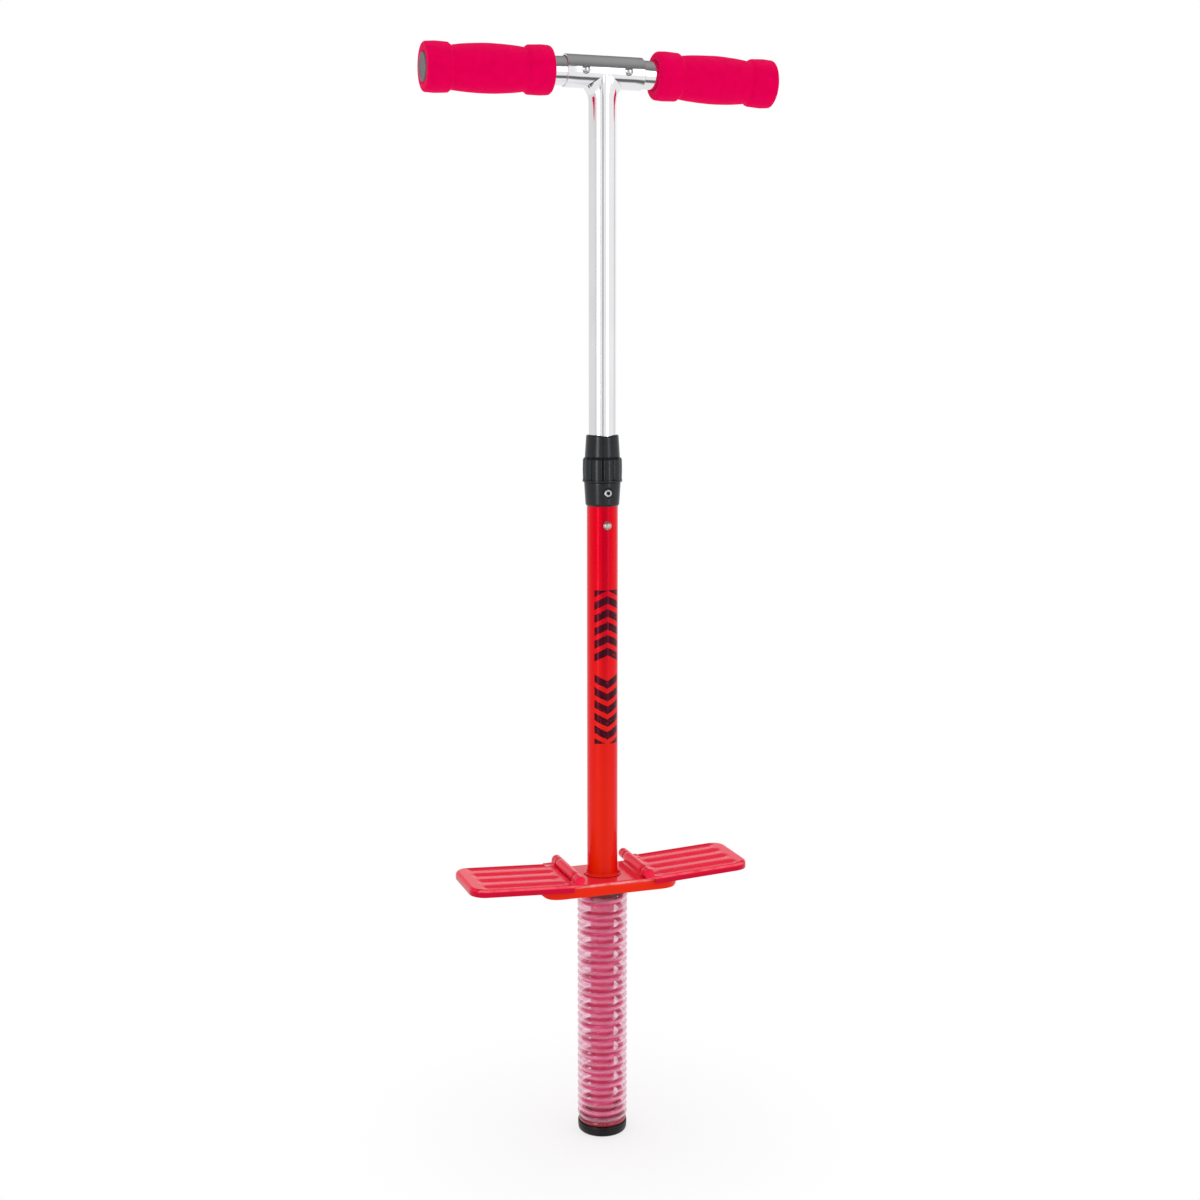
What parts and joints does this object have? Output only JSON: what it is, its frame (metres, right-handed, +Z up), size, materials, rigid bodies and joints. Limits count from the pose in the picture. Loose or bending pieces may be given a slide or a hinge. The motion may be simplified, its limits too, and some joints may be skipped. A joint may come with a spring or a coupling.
{
  "type": "pogo stick",
  "caption": "Child's spring pogo stick with a telescoping T handle, foam grips, a twist-lock collar, fold-up pedals and a coil spring in a clear ribbed sleeve.",
  "frame": {"origin": "centre of the rubber foot's flat underside, on the ground", "axes": "+Z up the main tube, +X along the handle and the right pedal, -Y is the front, where the snap buttons and the collar's screw face"},
  "size_m": [0.2912, 0.0682, 0.8971],
  "materials": {
    "red_enamel": "glossy red powder coat over pressed and tube steel",
    "polished_tube": "polished, with fine lengthwise marks",
    "chrome": "bright plated domes and screw head",
    "black_plastic": "fine-grained moulded plastic",
    "white_plastic": "plain moulded bearing plastic",
    "grey_plastic": "moulded plastic",
    "clear_vinyl": "clear, glossy and slightly hazy",
    "spring_steel": "oiled spring wire",
    "plain_steel": "plain zinc-plated steel",
    "dark_red_steel": "dark red paint",
    "pink_foam": "closed-cell foam with a fine open skin",
    "black_rubber": "matt moulded rubber"
  },
  "bodies": {
    "frame": {"main_tube": "red_enamel", "base_plate": "red_enamel", "base_weld": "red_enamel", "left_hinge_pin": "dark_red_steel", "right_hinge_pin": "dark_red_steel", "upper_spring_seat": "plain_steel", "guide_bush": "white_plastic", "collar_body": "black_plastic", "collar_top": "black_plastic", "collet": "white_plastic", "collar_screw": "chrome", "spring": "spring_steel", "spring_sleeve": "clear_vinyl"},
    "handle": {"handle_stem": "polished_tube", "stem_end_bush": "white_plastic", "handle_crossbar": "polished_tube", "crossbar_weld": "polished_tube", "left_grip_bar": "polished_tube", "right_grip_bar": "polished_tube", "left_foam_grip": "pink_foam", "right_foam_grip": "pink_foam", "left_end_plug": "grey_plastic", "right_end_plug": "grey_plastic", "left_button_clip": "plain_steel", "right_button_clip": "plain_steel", "height_button_clip": "plain_steel"},
    "plunger": {"shaft": "dark_red_steel", "shaft_top_bush": "white_plastic", "top_bush_rivet": "plain_steel", "rebound_ring": "black_rubber", "shaft_end_plug": "plain_steel", "lower_spring_seat": "dark_red_steel", "foot_tip": "black_rubber"},
    "twist_ring": {"twist_ring": "black_plastic"},
    "left_pedal": {"left_pedal": "red_enamel"},
    "right_pedal": {"right_pedal": "red_enamel"},
    "height_button": {"height_button": "chrome"},
    "left_handle_button": {"left_handle_button": "chrome"},
    "right_handle_button": {"right_handle_button": "chrome"}
  },
  "joints": [
    {"name": "spring_travel", "type": "slide", "parent": "frame", "child": "plunger", "axis": [0, 0, 1], "range_m": [0, 0.075], "stiffness_N_per_m": 9500, "springref_m": -0.015, "deforming": ["spring", "spring_sleeve"]},
    {"name": "left_pedal_fold", "type": "hinge", "parent": "frame", "child": "left_pedal", "pos_m": [-0.0303, 0, 0.2323], "axis": [0, 1, 0], "range_deg": [0, 88]},
    {"name": "right_pedal_fold", "type": "hinge", "parent": "frame", "child": "right_pedal", "pos_m": [0.0303, 0, 0.2323], "axis": [0, -1, 0], "range_deg": [0, 88]},
    {"name": "handle_height", "type": "slide", "parent": "frame", "child": "handle", "axis": [0, 0, -1], "range_m": [0, 0.1], "deforming": ["height_button", "height_button_clip"]},
    {"name": "twist_ring_turn", "type": "hinge", "parent": "frame", "child": "twist_ring", "pos_m": [0, 0, 0.5666], "axis": [0, 0, 1], "range_deg": [0, 90]},
    {"name": "height_button_press", "type": "slide", "parent": "handle", "child": "height_button", "axis": [0, 1, 0], "range_m": [0, 0.0036]},
    {"name": "left_handle_button_press", "type": "slide", "parent": "handle", "child": "left_handle_button", "axis": [0, 1, 0], "range_m": [0, 0.0036], "deforming": ["left_button_clip"]},
    {"name": "right_handle_button_press", "type": "slide", "parent": "handle", "child": "right_handle_button", "axis": [0, 1, 0], "range_m": [0, 0.0036], "deforming": ["right_button_clip"]}
  ]
}
